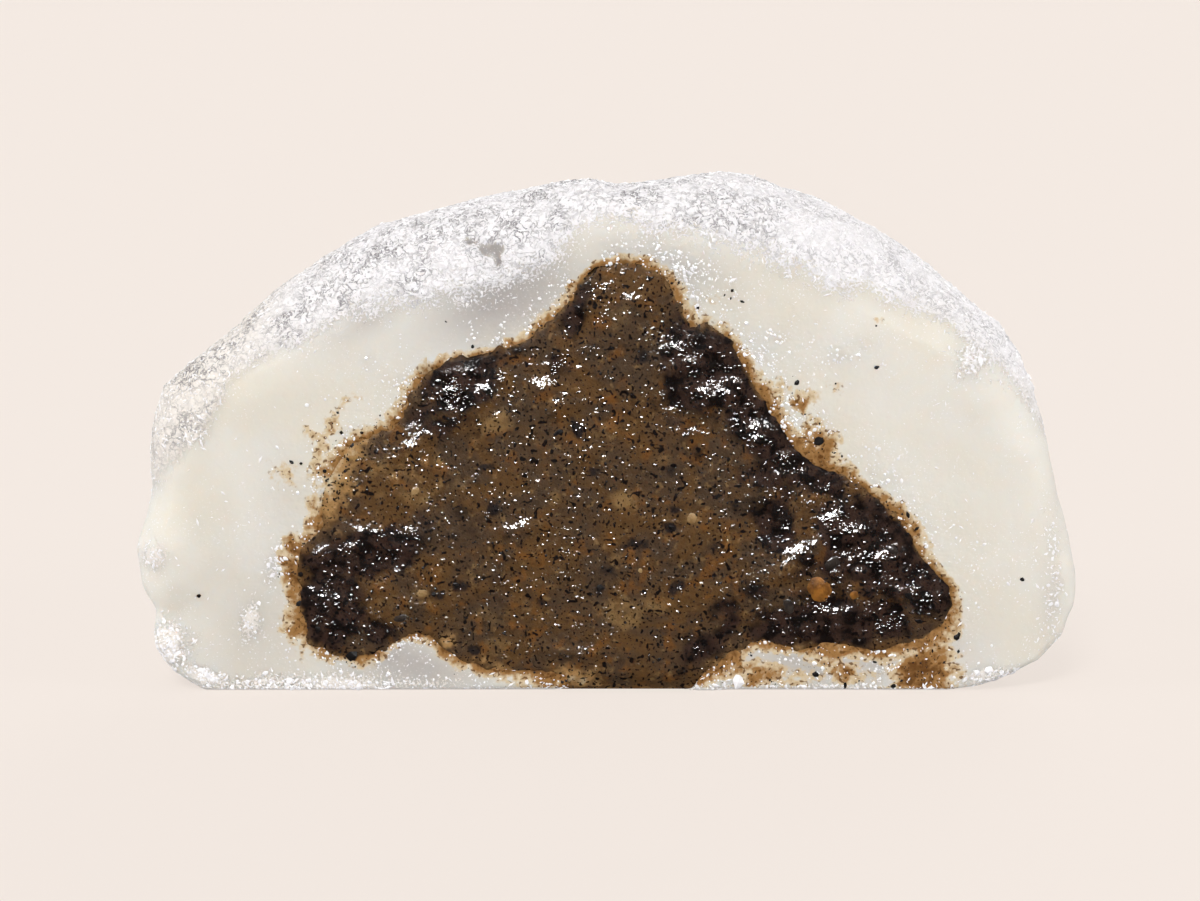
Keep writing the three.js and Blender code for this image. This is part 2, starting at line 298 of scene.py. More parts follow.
def write_points(mesh, points):
    mesh.vertices.foreach_set("co", points.ravel())
    mesh.update()


def smoothed(points, mesh, rounds, weights):
    """The points evened out among their neighbours without shrinking, as far as their weights let them."""
    edges = read(mesh.edges, "vertices", 2, np.int32)
    neighbours = np.bincount(edges.ravel(), minlength=len(points))[:, None]
    for pull in (0.5, -0.52) * rounds:
        sums = np.stack(
            [
                np.bincount(edges[:, 0], points[edges[:, 1], axis], len(points))
                + np.bincount(edges[:, 1], points[edges[:, 0], axis], len(points))
                for axis in range(3)
            ],
            axis=1,
        )
        points = points + pull * weights[:, None] * (sums / neighbours - points)
    return points


class Stretch:
    """Spreads the space near the cut, so that an even remesh is finer there once it is undone."""

    def __init__(self, front, back, fine_until, coarse_from, times):
        self.depths = np.linspace(front - 1, back + 1, 800)
        self.scales = 1 + (times - 1) * (1 - ramp(self.depths, fine_until, coarse_from))
        steps = (self.scales[1:] + self.scales[:-1]) / 2 * np.diff(self.depths)
        self.places = np.concatenate([[0], np.cumsum(steps)])

    def apply(self, points):
        scale = np.interp(points[:, 1], self.depths, self.scales)
        depth = np.interp(points[:, 1], self.depths, self.places)
        return np.stack([points[:, 0] * scale, depth, points[:, 2] * scale], axis=1)

    def undo(self, points):
        depth = np.interp(points[:, 1], self.places, self.depths)
        scale = np.interp(depth, self.depths, self.scales)
        return np.stack([points[:, 0] / scale, depth, points[:, 2] / scale], axis=1)


def give(thing, **settings):
    for name, value in settings.items():
        setattr(thing, name, value)


def placed(name, data):
    """A new object with this data, in the scene."""
    obj = bpy.data.objects.new(name, data)
    bpy.context.scene.collection.objects.link(obj)
    return obj


def modified(mesh, kind, **settings):
    """The mesh with one modifier applied to it."""
    obj = placed("work", mesh)
    give(obj.modifiers.new("work", kind), **settings)
    graph = bpy.context.evaluated_depsgraph_get()
    made = bpy.data.meshes.new_from_object(obj.evaluated_get(graph), depsgraph=graph)
    bpy.data.objects.remove(obj)
    return made


def remeshed(node, stretch, voxel):
    """An even, closed mesh in millimetres of a CAD node's shape, finest at the cut."""
    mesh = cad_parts[node].data.copy()
    write_points(mesh, read_points(mesh) / MM)
    mesh = modified(mesh, "WELD", merge_threshold=0.0005)
    mesh = modified(mesh, "SUBSURF", subdivision_type="SIMPLE", levels=2)
    write_points(mesh, stretch.apply(read_points(mesh)))
    mesh = modified(mesh, "REMESH", mode="VOXEL", voxel_size=voxel)
    write_points(mesh, stretch.undo(read_points(mesh)))
    return mesh


def thinned(mesh):
    """The mesh with its flattest parts made coarser, until it has no more than MOST_TRIANGLES triangles."""
    return modified(mesh, "DECIMATE", ratio=min(1, MOST_TRIANGLES / len(read_triangles(mesh))))


def keep_values(mesh, **values):
    """Stores numbers for each vertex under these names, for the material to read."""
    for name, numbers in values.items():
        made = mesh.attributes.new(name, "FLOAT", "POINT")
        made.data.foreach_set("value", numbers.astype(np.float32))


def piece(mesh, name, material, replaced=None, smooth=True):
    """A piece of the cake, from a mesh in millimetres."""
    write_points(mesh, read_points(mesh) * MM)
    mesh.name = name
    mesh.materials.clear()
    mesh.materials.append(material)
    mesh.polygons.foreach_set("use_smooth", np.full(len(mesh.polygons), smooth))
    obj = placed(name, mesh)
    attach(obj, BODY)
    if replaced:
        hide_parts(replaced)


def mesh_of(points, triangles):
    """A new mesh with these corners and triangles."""
    mesh = bpy.data.meshes.new("work")
    mesh.vertices.add(len(points))
    mesh.vertices.foreach_set("co", points.ravel())
    mesh.loops.add(triangles.size)
    mesh.loops.foreach_set("vertex_index", triangles.ravel())
    mesh.polygons.add(len(triangles))
    mesh.polygons.foreach_set("loop_start", np.arange(0, triangles.size, 3))
    mesh.update(calc_edges=True)
    return mesh


def wall_of(node):
    """A CAD node's surface in millimetres, as a tree that finds its nearest point."""
    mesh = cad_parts[node].data
    corners = (read_points(mesh) / MM).tolist()
    return BVHTree.FromPolygons(corners, read_triangles(mesh).tolist())


# ------------ the dough

DOUGH_VOXEL = 0.34


class Skin:
    """What a point of the dough is like: how deep it lies, how near the filling, and how floured."""

    def __init__(self, points):
        tree = wall_of("sesame_filling")
        found = [tree.find_nearest(Vector(p)) for p in points]
        self.wall = np.array([tuple(f[0]) for f in found])
        self.gap = np.array([f[3] for f in found])
        self.depth = points[:, 1] - CUT
        self.hollow = (self.gap < 0.7) & (self.depth > 0.6)
        self.face = 1 - ramp(self.depth, 0.3, 1.5)
        bare = 1.6 + 4.5 * (1 - ramp(points[:, 2], 8, 22))  # how far behind the cut the flour begins
        above_line = points[:, 2] - np.interp(points[:, 0], *zip(*FLOUR_LINE))
        ragged = rough_noise(points, 2.6, 11, 2) * 0.8 + noise(points, 0.7, 12) * 0.3
        flour = ramp(np.maximum(above_line, (self.depth - bare) * 1.2) + ragged, -1.5, 1.7)
        self.caked = flour
        patches = strongest(points, FLOUR_PATCHES) * (0.85 + 0.4 * ragged)
        flour = np.maximum(flour, np.clip(patches, 0, 1))
        flour = np.maximum(flour, points[:, 2] < 0.15)
        # dimples are placed where the camera sees them over the cut
        seen = points + np.array((0, 0, 1)) * (self.depth * math.tan(CAMERA_TILT))[:, None]
        ragged = 1 + 0.8 * noise(points, 0.8, 13)
        self.dimple = strongest(seen, DIMPLES) * ramp(self.depth, 14, 10) * ragged
        flour *= 1 - np.clip(self.dimple * 4 - 0.6, 0, 1)
        self.flour = np.where(self.hollow, 0, flour)


def dough_mesh():
    stretch = Stretch(CUT, dough_high[1], CUT + 3, CUT + 13, 2.0)
    mesh = remeshed("mochi_dough", stretch, DOUGH_VOXEL)
    points = read_points(mesh)
    skin = Skin(points)
    weights = ramp(points[:, 2], 0.1, 0.6) * (0.15 + 0.85 * ramp(skin.gap, 0.5, 2.0))
    closing = 0.9 * (1 - ramp(skin.gap, 0.4, 1.1))  # draws the wall up to the filling
    points = points + (skin.wall - points) * closing[:, None]
    points = smoothed(points, mesh, 14, weights)
    write_points(mesh, points)
    relief = dough_relief(points, skin) * ramp(points[:, 2], 0.1, 1.5)
    points = points + read_normals(mesh) * relief[:, None]
    points[:, 2] -= spot_share(points, PRESSED_FOOT) * PRESSED_FOOT[5] * (skin.depth < 3)
    points[:, 2] = np.maximum(points[:, 2], 0)
    write_points(mesh, points)
    mesh = thinned(mesh)
    keep_dough_look(mesh)
    return mesh


def dough_relief(points, skin):
    """How far the dough stands out at each point: its waves and bulges, and its cracked coat of flour."""
    rounded = ramp(skin.depth, 0.5, 5.0) * ~skin.hollow
    relief = rounded * (noise(points, 9, 21) * 0.3 + noise(points, 3.6, 22) * 0.16)
    relief += skin.face * ramp(skin.gap, 0.5, 2.0) * noise(points, 5, 23) * 0.08
    relief += ramp(skin.gap, 4, 9) * noise(points, 1.7, 24) * 0.09
    relief += sum(spot_share(points, bulge) * bulge[5] for bulge in BULGES) * ramp(skin.depth, 8, 3)
    grains = 1 - ramp(grain_distance(points, 0.5, 31), 0.1, 0.8)
    relief += skin.flour * (0.05 + 0.07 * grains - 0.08 * creases(points) + 0.05 * noise(points, 0.9, 33))
    relief -= skin.face * 0.45 * spot_share(points, COOL_DENTS[0])
    return relief - skin.dimple


def keep_dough_look(mesh):
    """Stores what the dough's material reads: flour, stains, wet places, grey places partly of painted
    shade, flour creamier partly as painted shade, and painted shade in the flour's cracks.
    """
    points = read_points(mesh)
    skin = Skin(points)
    uneven = noise(points, 2.4, 41) * 0.6 + noise(points, 0.8, 43) * 0.3
    halo = 1.1 * (1 - ramp(skin.gap - 0.14 * uneven, 0.2, 0.4))
    smears = strongest(points, SMEARS) * (0.9 + 0.6 * rough_noise(points, 0.9, 42))
    # painted shade in the bare dimples
    bare_dimple = np.clip(skin.dimple * 2.4, 0, 1)
    # Lower and further left the flour is creamier: there its coat is thinner, and on the left slope the
    # cream is painted shade.
    height = points[:, 2] + noise(points, 6, 35) * 6 - 8 * ramp(points[:, 0], -14, -24)
    depth = skin.depth + noise(points, 6, 36) * 5
    # How strong the painted shade in the flour's cracks is: weaker at the back, to the right and low down.
    worn = (0.45 + 0.55 * ramp(depth, 20, 5)) * (1 - 0.5 * ramp(points[:, 0], 6, 15))
    keep_values(
        mesh,
        flour=skin.flour,
        stain=np.clip(np.maximum(halo, smears) * skin.face, 0, 1.3),
        near=np.exp(-skin.gap / 2.2) * skin.face,
        # greyer dough, partly painted shade in the dents, the dimples and along the foot
        cool=np.maximum(strongest(points, COOL_DENTS) * skin.face, bare_dimple),
        wet=strongest(points, WET_STREAKS) * skin.face,
        # painted shade along the flour's cracks
        crease=creases(points) * skin.flour,
        thin=1 - ramp(height, 11, 25),
        worn=worn * (0.6 + 0.4 * ramp(points[:, 2], 14, 22)) * skin.caked,
    )


def creases(points):
    """1 along the short, winding cracks of the floured skin."""
    return 1 - ramp(np.abs(rough_noise(points, 1.1, 32, 2)), 0.0, 0.13)


# ------------ the filling

FILLING_VOXEL = 0.36
SEAM = 0.18  # how far the filling is pressed out against the dough, past its CAD shape
RIM_WIDTH = 2.4  # how far in from the dough the filling reaches its full height over the cut
RIM_THICKNESS = 0.06  # how far it stands out of the cut at the dough
FOOT = 1.3  # the height over which the tongue of filling spreads out on what the cake stands on
FOOT_MIDDLE = 1.4
FOOT_SPREAD = 0.9  # how much wider it is there, to each side
FOOT_RETREAT = 0.55  # how far its foot falls back, level with the dough


def filling_mesh():
    stretch = Stretch(filling_low[1], filling_high[1], CUT + 0.6, CUT + 5, 3.0)
    mesh = remeshed("sesame_filling", stretch, FILLING_VOXEL)
    points = read_points(mesh)
    points = smoothed(points, mesh, 12, np.ones(len(points)))
    write_points(mesh, points)
    off_base = ramp(points[:, 2], 0.2, 1.5)
    points = pressed_out(points, read_normals(mesh), off_base)
    write_points(mesh, points)
    normals = read_normals(mesh)
    front = ramp(-normals[:, 1], 0.1, 0.6)
    face = 1 - ramp(points[:, 1] - CUT, 0.3, 1.2)
    points = points + (front * face * paste_relief(points, off_base))[:, None] * normals
    points[:, 2] = np.maximum(points[:, 2], 0)
    write_points(mesh, points)
    mesh = thinned(mesh)
    Paste(read_points(mesh)).keep(mesh)
    return mesh


def pressed_out(points, normals, off_base):
    """The points spread against the dough, splayed at the foot, and thinned towards the rim."""
    ragged = np.clip(noise(points, 1.2, 55) * 0.24 + noise(points, 0.5, 56) * 0.2, -0.05, 0.45)
    spread = SEAM + ragged + sum(spot_share(points, spot) * spot[5] for spot in SPREADS)
    sideways = normals * np.array((1, 0.3, 1))
    points = points + sideways * (spread * off_base)[:, None]
    foot = (1 - ramp(points[:, 2], 0, FOOT)) * (points[:, 1] < CUT + 1)
    points[:, 0] += FOOT_SPREAD * foot * np.tanh(points[:, 0] - FOOT_MIDDLE)
    points[:, 1] += FOOT_RETREAT * foot
    ahead = np.maximum(CUT - RIM_THICKNESS - points[:, 1], 0)
    points[:, 1] += ahead * (1 - ramp(Paste(points).gap, 0.1, RIM_WIDTH))
    return points


def paste_relief(points, off_base):
    """How far the paste's lumps, folds and grains stand out of the cut, most of all where it is dark."""
    look = Paste(points)
    lively = (0.3 + 0.7 * look.dark) * (1 - 0.85 * look.smooth)
    relief = sum(spot_share(points, lump) * lump[5] * 0.75 for lump in LUMPS)
    relief += lively * rough_noise(points, 2.4, 52, 2) * 0.22
    relief += lively * noise(points, 0.9, 53) * 0.09
    grains = 1 - ramp(grain_distance(points, 0.6, 54), 0.05, 0.9)
    relief += (0.3 + 0.7 * look.dark) * (1 - look.smooth) * grains * 0.06
    return np.clip(relief + 0.05, -0.45, 0.7) * off_base * ramp(look.gap, 0, 0.8)


class Paste:
    """What the filling is like at each point: how dark, how smooth, how thin a film, and how creamy."""

    def __init__(self, points):
        dark = strongest(points, DARK_ZONES) * 1.45 + rough_noise(points, 2.0, 51, 3) * 0.4
        self.dark = np.clip(dark, 0, 1)
        self.smooth = strongest(points, SMOOTH_ZONES)
        tree = wall_of("mochi_dough")
        self.gap = np.array([tree.find_nearest(Vector(p))[3] for p in points])
        self.inside = ramp(self.gap, 0.3, 1.4)
        rim = 1 - ramp(self.gap + noise(points, 1.5, 57) * 0.25, 0.05, 0.55)
        self.dark = self.dark * (1 - 0.4 * rim)
        film = strongest(points, FILM_ZONES) + rough_noise(points, 1.2, 58, 2) * 0.25
        self.film = np.clip(np.maximum(rim * 0.3, film * (1 - 0.7 * self.dark)), 0, 1)
        ragged = 1 + 0.5 * noise(points, 0.8, 59)
        self.cream = strongest(points, CREAM_SPOTS) * (1 + 0.6 * noise(points, 1.3, 60))
        self.smudge = strongest(points, SMUDGES) * ragged

    def keep(self, mesh):
        names = ("dark", "smooth", "film", "cream", "smudge", "inside")
        keep_values(mesh, **{name: getattr(self, name) for name in names})


# ------------ small pieces


class Surface:
    """A mesh's triangles, from which random places can be drawn."""

    def __init__(self, mesh):
        self.mesh = mesh
        self.points = read_points(mesh)
        self.triangles = read_triangles(mesh)
        corners = self.points[self.triangles]
        crossed = np.cross(corners[:, 1] - corners[:, 0], corners[:, 2] - corners[:, 0])
        self.areas = np.linalg.norm(crossed, axis=1) / 2
        self.normals = crossed / np.maximum(self.areas * 2, 1e-12)[:, None]
        self.middles = corners.mean(axis=1)
        self.off_base = self.middles[:, 2] > 0.1

    def mean(self, name):
        """A stored value's mean over each triangle's corners."""
        values = read(self.mesh.attributes[name].data, "value", 1, np.float32)[:, 0]
        return values[self.triangles].mean(axis=1)

    def draw(self, rng, count, weights):
        """Random places, as points and normals, drawn more often where the triangles' weights are higher."""
        totals = np.cumsum(self.areas * weights)
        chosen = np.searchsorted(totals, rng.random(count) * totals[-1])
        shares = rng.dirichlet((1, 1, 1), count)
        places = np.sum(self.points[self.triangles[chosen]] * shares[:, :, None], axis=1)
        return places, self.normals[chosen]


def ball(divisions):
    """The points and triangles of a round body, of 8 triangles or 4 times as many for each division."""
    points = [(1, 0, 0), (0, 1, 0), (-1, 0, 0), (0, -1, 0), (0, 0, 1), (0, 0, -1)]
    triangles = [(a, (a + 1) % 4, 4) for a in range(4)] + [((a + 1) % 4, a, 5) for a in range(4)]
    points = [np.array(p, float) for p in points]
    for _ in range(divisions):
        halves = {}

        def half(a, b):
            key = (min(a, b), max(a, b))
            if key not in halves:
                middle = points[a] + points[b]
                halves[key] = len(points)
                points.append(middle / np.linalg.norm(middle))
            return halves[key]

        divided = []
        for a, b, c in triangles:
            ab, bc, ca = half(a, b), half(b, c), half(c, a)
            divided += [(a, ab, ca), (b, bc, ab), (c, ca, bc), (ab, bc, ca)]
        triangles = divided
    return np.array(points), np.array(triangles)


def bits(rng, places, normals, sizes, shape, unevenness=0.25, sunk=0.3, divisions=0, variety=0.25):
    """One mesh of many uneven bits, each turned at random on its own spot of the surface.

    A bit's size is its half length; shape is its length, width and height beside that. Variety is how
    much those differ between bits, and unevenness how much a bit's corners stand in and out."""
    template, triangles = ball(divisions)
    count = len(places)
    turn = rng.normal(size=(count, 3))
    along = turn - normals * np.sum(turn * normals, axis=1)[:, None]
    along /= np.linalg.norm(along, axis=1)[:, None]
    across = np.cross(normals, along)
    frames = np.stack([along, across, normals], axis=1)
    stretch = np.array(shape) * (1 + variety * rng.uniform(-1, 1, (count, 3))) * sizes[:, None]
    swell = 1 + unevenness * rng.uniform(-1, 1, (count, len(template)))
    local = template[None] * swell[:, :, None] * stretch[:, None, :]
    local[:, :, 2] -= (sunk * stretch[:, 2])[:, None]
    points = places[:, None] + np.einsum("nvk,nkj->nvj", local, frames)
    points[:, :, 2] += np.maximum(-points[:, :, 2].min(axis=1), 0)[:, None]
    faces = triangles[None] + (np.arange(count) * len(template))[:, None, None]
    return mesh_of(points.reshape(-1, 3), faces.reshape(-1, 3))


def scattered(rng, surface, weights, count, sizes, shape, **others):
    """Bits at random places of a surface. Sizes are the middle one, how much they differ, and the limits."""
    places, normals = surface.draw(rng, count, weights)
    middle, spread, smallest, largest = sizes
    drawn = np.clip(rng.lognormal(math.log(middle), spread, count), smallest, largest)
    return bits(rng, places, normals, drawn, shape, **others)


BEADS = {"unevenness": 0.03, "divisions": 1}
ROUND = {"unevenness": 0.04, "divisions": 3, "variety": 0.08}


def joined(meshes):
    """Several meshes as one."""
    points, faces, start = [], [], 0
    for mesh in meshes:
        points.append(read_points(mesh))
        faces.append(read_triangles(mesh) + start)
        start += len(points[-1])
        bpy.data.meshes.remove(mesh)
    return mesh_of(np.concatenate(points), np.concatenate(faces))


# ------------ materials


def rgb(red, green, blue):
    """A colour given as on a screen, from 0 to 255, as the linear one that shaders take."""
    def linear(value):
        share = value / 255
        return share / 12.92 if share <= 0.04045 else ((share + 0.055) / 1.055) ** 2.4
    return linear(red), linear(green), linear(blue), 1.0


DOUGH_WARM = rgb(222, 216, 203)
DOUGH_PALE = rgb(225, 221, 212)
# the dough's greyer colour, and painted shade in its dents and dimples
DOUGH_COOL = rgb(180, 174, 169)
# painted highlight: the white of the syrup beads on the dough
GLINT = rgb(252, 251, 250)
FLOUR_WHITE = rgb(242, 239, 239)
FLOUR_GREY = rgb(238, 235, 234)
# thinner flour, and painted shade on the skin's left slope
FLOUR_CREAM = rgb(236, 229, 220)
# painted shade: the grey of the flour's cracks and pits
FLOUR_CRACK = rgb(138, 133, 133)
OIL_THIN = rgb(208, 184, 142)
OIL_THICK = rgb(146, 100, 44)
OIL_DEEP = rgb(96, 62, 30)
PASTE_GREY = rgb(76, 59, 43)
PASTE_WARM = rgb(92, 66, 38)
PASTE_AMBER = rgb(118, 76, 34)
PASTE_CREAM = rgb(140, 110, 70)
PASTE_FILM = rgb(168, 130, 82)
PALE_FILM = rgb(206, 188, 156)
PASTE_SMUDGE = rgb(30, 26, 27)
PASTE_BROWN = rgb(56, 40, 33)
PASTE_DARK = rgb(15, 10, 10)
SPECK = rgb(16, 10, 8)
# The two tones of each kind of small thing.
HULL = rgb(12, 8, 7), rgb(24, 18, 16)
NUT = rgb(156, 102, 38), rgb(104, 66, 26)
KERNEL = rgb(158, 128, 84), rgb(128, 98, 60)
HUSK = rgb(62, 54, 48), rgb(42, 35, 31)
GRAIN = rgb(250, 248, 247), FLOUR_WHITE


class Nodes:
    """A material's node tree, with short ways to add to it."""

    def __init__(self, name):
        self.material = bpy.data.materials.new(name)
        self.material.use_nodes = True
        self.tree = self.material.node_tree
        self.tree.nodes.clear()
        self.place = self.add("TexCoord").outputs["Object"]

    def add(self, kind, inputs=None, **settings):
        made = self.tree.nodes.new("ShaderNode" + kind)
        give(made, **settings)
        for name, value in (inputs or {}).items():
            if isinstance(value, bpy.types.NodeSocket):
                self.tree.links.new(value, made.inputs[name])
            else:
                made.inputs[name].default_value = value
        return made

    def value(self, attribute):
        return self.add("Attribute", attribute_name=attribute).outputs["Fac"]

    def noise(self, size, detail=2.0, distortion=0.0, stretch=None):
        place = self.place
        if stretch:
            place = self.add("Mapping", {"Vector": place, "Scale": stretch}).outputs["Vector"]
        inputs = {"Vector": place, "Scale": 1 / (size * MM), "Detail": detail, "Distortion": distortion}
        return self.add("TexNoise", inputs).outputs["Fac"]

    def math(self, operation, a, b=0.0):
        return self.add("Math", {0: a, 1: b}, operation=operation).outputs[0]

    plus = partialmethod(math, "ADD")
    minus = partialmethod(math, "SUBTRACT")
    times = partialmethod(math, "MULTIPLY")
    larger = partialmethod(math, "MAXIMUM")

    def patches(self, size, detail, *limits):
        """Noise with its contrast raised by a ramp with these limits."""
        return self.ramp(self.noise(size, detail), *limits)

    def uneven(self, attribute, size, detail, strength):
        """A stored value with noise about 0 added to it."""
        return self.plus(self.value(attribute), self.centred(self.noise(size, detail), strength))

    def centred(self, value, strength):
        """A value from 0 to 1 as one about 0, that many times as strong."""
        return self.times(self.minus(value, 0.5), strength)

    def ramp(self, value, start, end, low=0, high=1):
        inputs = {"Value": value, "From Min": start, "From Max": end, "To Min": low, "To Max": high}
        return self.add("MapRange", inputs, interpolation_type="SMOOTHSTEP").outputs["Result"]

    def mix(self, share, a, b):
        return self.add("Mix", {0: share, 6: a, 7: b}, data_type="RGBA").outputs[2]

    def painted(self, colour, *layers):
        """The colour under layers, each given as how far it covers what is below it, and its colour."""
        for share, over in layers:
            colour = self.mix(share, colour, over)
        return colour

    def mix_value(self, share, a, b):
        return self.add("Mix", {0: share, 2: a, 3: b}, data_type="FLOAT").outputs[0]

    def bump(self, height, depth, strength=1.0):
        inputs = {"Height": height, "Distance": depth * MM, "Strength": strength}
        return self.add("Bump", inputs).outputs["Normal"]

    def finish(self, **sockets):
        shader = self.add("BsdfPrincipled", {k.replace("_", " "): v for k, v in sockets.items()})
        self.add("OutputMaterial", {"Surface": shader.outputs[0]})
        return self.material


def stained_dough(nodes, oil):
    """The colour of the cut dough: greyer in its dents, partly as painted shade; dusty and with painted
    glint specks in places; and brown where oil is.
    """
    # white specks on the cut dough: flour dust, and painted glints
    dusty = nodes.times(nodes.patches(0.13, 1, 0.64, 0.74), nodes.patches(2.6, 3, 0.4, 0.65))
    oily = nodes.ramp(oil, 0.16, 0.45)
    grit = nodes.times(nodes.patches(0.24, 0, 0.62, 0.7, 0, 0.85), oily)
    return nodes.painted(
        DOUGH_WARM,
        (nodes.patches(7, 3, 0.35, 0.65), DOUGH_PALE),
        # greyer dough, partly painted shade
        (nodes.value("cool"), DOUGH_COOL),
        (dusty, FLOUR_WHITE),
        (nodes.times(oily, 0.8), OIL_THIN),
        (nodes.ramp(oil, 0.4, 0.9, 0, 0.9), OIL_THICK),
        (nodes.ramp(oil, 0.9, 1.4, 0, 0.9), OIL_DEEP),
        (grit, OIL_DEEP),
    )


def flour_shade(nodes):
    """How much painted shade darkens the cracks and pits of the caked flour."""
    winding = nodes.math("ABSOLUTE", nodes.minus(nodes.noise(0.6, 3, 0.8), 0.5))
    cracks = nodes.ramp(winding, 0, 0.05, 0.9, 0)
    pits = nodes.patches(0.2, 2, 0.3, 0.4, 0.7, 0)
    shade = nodes.larger(nodes.larger(cracks, pits), nodes.times(nodes.value("crease"), 0.6))
    shade = nodes.times(shade, nodes.patches(2.2, 3, 0.35, 0.65, 0.35, 1.1))
    return nodes.times(shade, nodes.value("worn"))


def flour_coat(nodes, shade):
    """The colour of the flour: creamier where its coat is thin and as painted shade on its left slope, and
    grey with painted shade in its cracks.
    """
    whiter = nodes.patches(0.4, 3, 0.42, 0.58)
    layers = ((whiter, FLOUR_WHITE), (nodes.value("thin"), FLOUR_CREAM), (shade, FLOUR_CRACK))
    return nodes.painted(FLOUR_GREY, *layers)


def dough_material():
    """Smooth, milky dough that lets light in, under a dry coat of rice flour."""
    nodes = Nodes("mochi_dough")
    stain = nodes.value("stain")
    kept = nodes.minus(nodes.value("flour"), nodes.times(stain, 0.5))
    cover = nodes.ramp(nodes.plus(kept, nodes.centred(nodes.noise(0.16, 3), 2.2)), 0.4, 0.66)
    patchy = nodes.times(nodes.centred(nodes.noise(0.45, 4), 1.6), nodes.ramp(stain, 0, 0.3))
    oil = nodes.plus(stain, patchy)
    shade = flour_shade(nodes)
    grain = nodes.minus(nodes.plus(nodes.noise(0.13, 2), nodes.noise(0.3, 2)), shade)
    wet = nodes.larger(nodes.value("wet"), nodes.value("near"))
    strokes = nodes.times(nodes.noise(0.5, 1, stretch=(0.4, 1, 1)), wet)
    sheen = nodes.plus(nodes.times(nodes.noise(0.4, 1), 0.35), strokes)
    return nodes.finish(
        Base_Color=nodes.mix(cover, stained_dough(nodes, oil), flour_coat(nodes, shade)),
        Roughness=nodes.mix_value(cover, 0.4, 0.95),
        Specular_IOR_Level=0.02,
        Subsurface_Weight=nodes.mix_value(cover, nodes.ramp(oil, 0.12, 0.5, 1, 0.2), 0.1),
        Subsurface_Radius=(1.0, 0.85, 0.72),
        Subsurface_Scale=0.0018,
        Normal=nodes.bump(nodes.mix_value(cover, sheen, grain), 0.1, 0.9),
    )


def paste_colour(nodes):
    """Brown paste with fine black specks, paler nut, black smudges, and an amber film at its rim."""
    warm = nodes.ramp(nodes.noise(3.0, 4, 0.8), 0.38, 0.62)
    nut = nodes.uneven("cream", 0.7, 3, 1.2)
    film = nodes.uneven("film", 0.6, 4, 1.3)
    dark = nodes.uneven("dark", 0.8, 4, 0.8)
    darker = nodes.mix(nodes.patches(0.9, 3, 0.4, 0.6), PASTE_DARK, PASTE_BROWN)
    smudge = nodes.uneven("smudge", 0.8, 3, 1.4)
    coarse = nodes.patches(0.34, 0, 0.68, 0.75, 0, 0.95)
    fine = nodes.patches(0.19, 0, 0.66, 0.74, 0, 0.9)
    faint = nodes.patches(0.45, 3, 0.56, 0.7, 0, 0.35)
    return nodes.painted(
        PASTE_GREY,
        (warm, PASTE_WARM),
        (nodes.patches(1.1, 3, 0.54, 0.7, 0, 0.65), PASTE_AMBER),
        (nodes.ramp(nut, 0.25, 1.1, 0, 0.75), PASTE_CREAM),
        (nodes.patches(0.5, 2, 0.6, 0.74, 0, 0.5), PASTE_CREAM),
        (nodes.ramp(film, 0.2, 0.8, 0, 0.9), PASTE_FILM),
        (nodes.ramp(film, 0.8, 1.3, 0, 0.9), PALE_FILM),
        (nodes.ramp(dark, 0.2, 0.75, 0, 0.97), darker),
        (nodes.ramp(smudge, 0.25, 0.75, 0, 0.9), PASTE_SMUDGE),
        (nodes.larger(nodes.larger(coarse, fine), faint), SPECK),
    )


SYRUP = {"Specular_IOR_Level": 0.02, "Coat_Roughness": 0.02}  # a sharp gloss, from the coat alone


def filling_material():
    """Dark, wet paste of ground sesame."""
    nodes = Nodes("sesame_filling")
    ripples = nodes.plus(nodes.noise(0.34, 2), nodes.times(nodes.noise(0.16, 1), 0.4))
    normal = nodes.bump(ripples, 0.07, 0.9)
    return nodes.finish(
        Base_Color=paste_colour(nodes),
        Roughness=nodes.patches(0.8, 2, 0.35, 0.65, 0.4, 0.6),
        Subsurface_Weight=0.25,
        Subsurface_Radius=(1.0, 0.45, 0.2),
        Subsurface_Scale=0.0007,
        Coat_Weight=nodes.value("inside"),
        Normal=normal,
        Coat_Normal=normal,
        **SYRUP,
    )


def bead_material(name, colour):
    """Wet beads of syrup in the given colour: on the paste its colour, on the dough a painted white that
    stands for glints.
    """
    nodes = Nodes(name)
    return nodes.finish(
        Base_Color=colour(nodes),
        Roughness=nodes.patches(0.3, 2, 0.3, 0.7, 0.4, 0.6),
        Coat_Weight=1,
        Coat_IOR=1.8,
        Normal=nodes.bump(nodes.noise(0.3, 1), 0.01),
        **SYRUP,
    )


def clear_dough(nodes):
    """The colour of the beads on the dough: a painted white that stands for glints."""
    return nodes.mix(nodes.patches(0.8, 2, 0.4, 0.6), GLINT, FLOUR_WHITE)


def dry_material(name, light, deep, roughness, tone_size, grain_size, grain_height):
    """Dry, matt grains of two tones."""
    nodes = Nodes(name)
    tone = nodes.patches(tone_size, 2, 0.4, 0.6)
    return nodes.finish(
        Base_Color=nodes.mix(tone, light, deep),
        Roughness=nodes.patches(0.1, 2, 0.3, 0.7, roughness, roughness + 0.2),
        Specular_IOR_Level=0.1,
        Normal=nodes.bump(nodes.noise(grain_size, 2), grain_height),
    )


def bit_material(name, light, deep, roughness, clear):
    """A softened piece of nut, kernel or husk, glossy with syrup."""
    nodes = Nodes(name)
    tone = nodes.patches(0.6, 3, 0.35, 0.65)
    return nodes.finish(
        Base_Color=nodes.mix(tone, light, deep),
        Roughness=nodes.patches(0.2, 2, 0.3, 0.7, roughness, roughness + 0.2),
        Specular_IOR_Level=0.1,
        Subsurface_Weight=clear,
        Subsurface_Radius=(1.0, 0.6, 0.3),
        Subsurface_Scale=0.0003,
        Coat_Weight=0.8,
        Coat_Roughness=0.05,
        Normal=nodes.bump(nodes.noise(0.15, 2), 0.04),
    )


# ------------ the scene


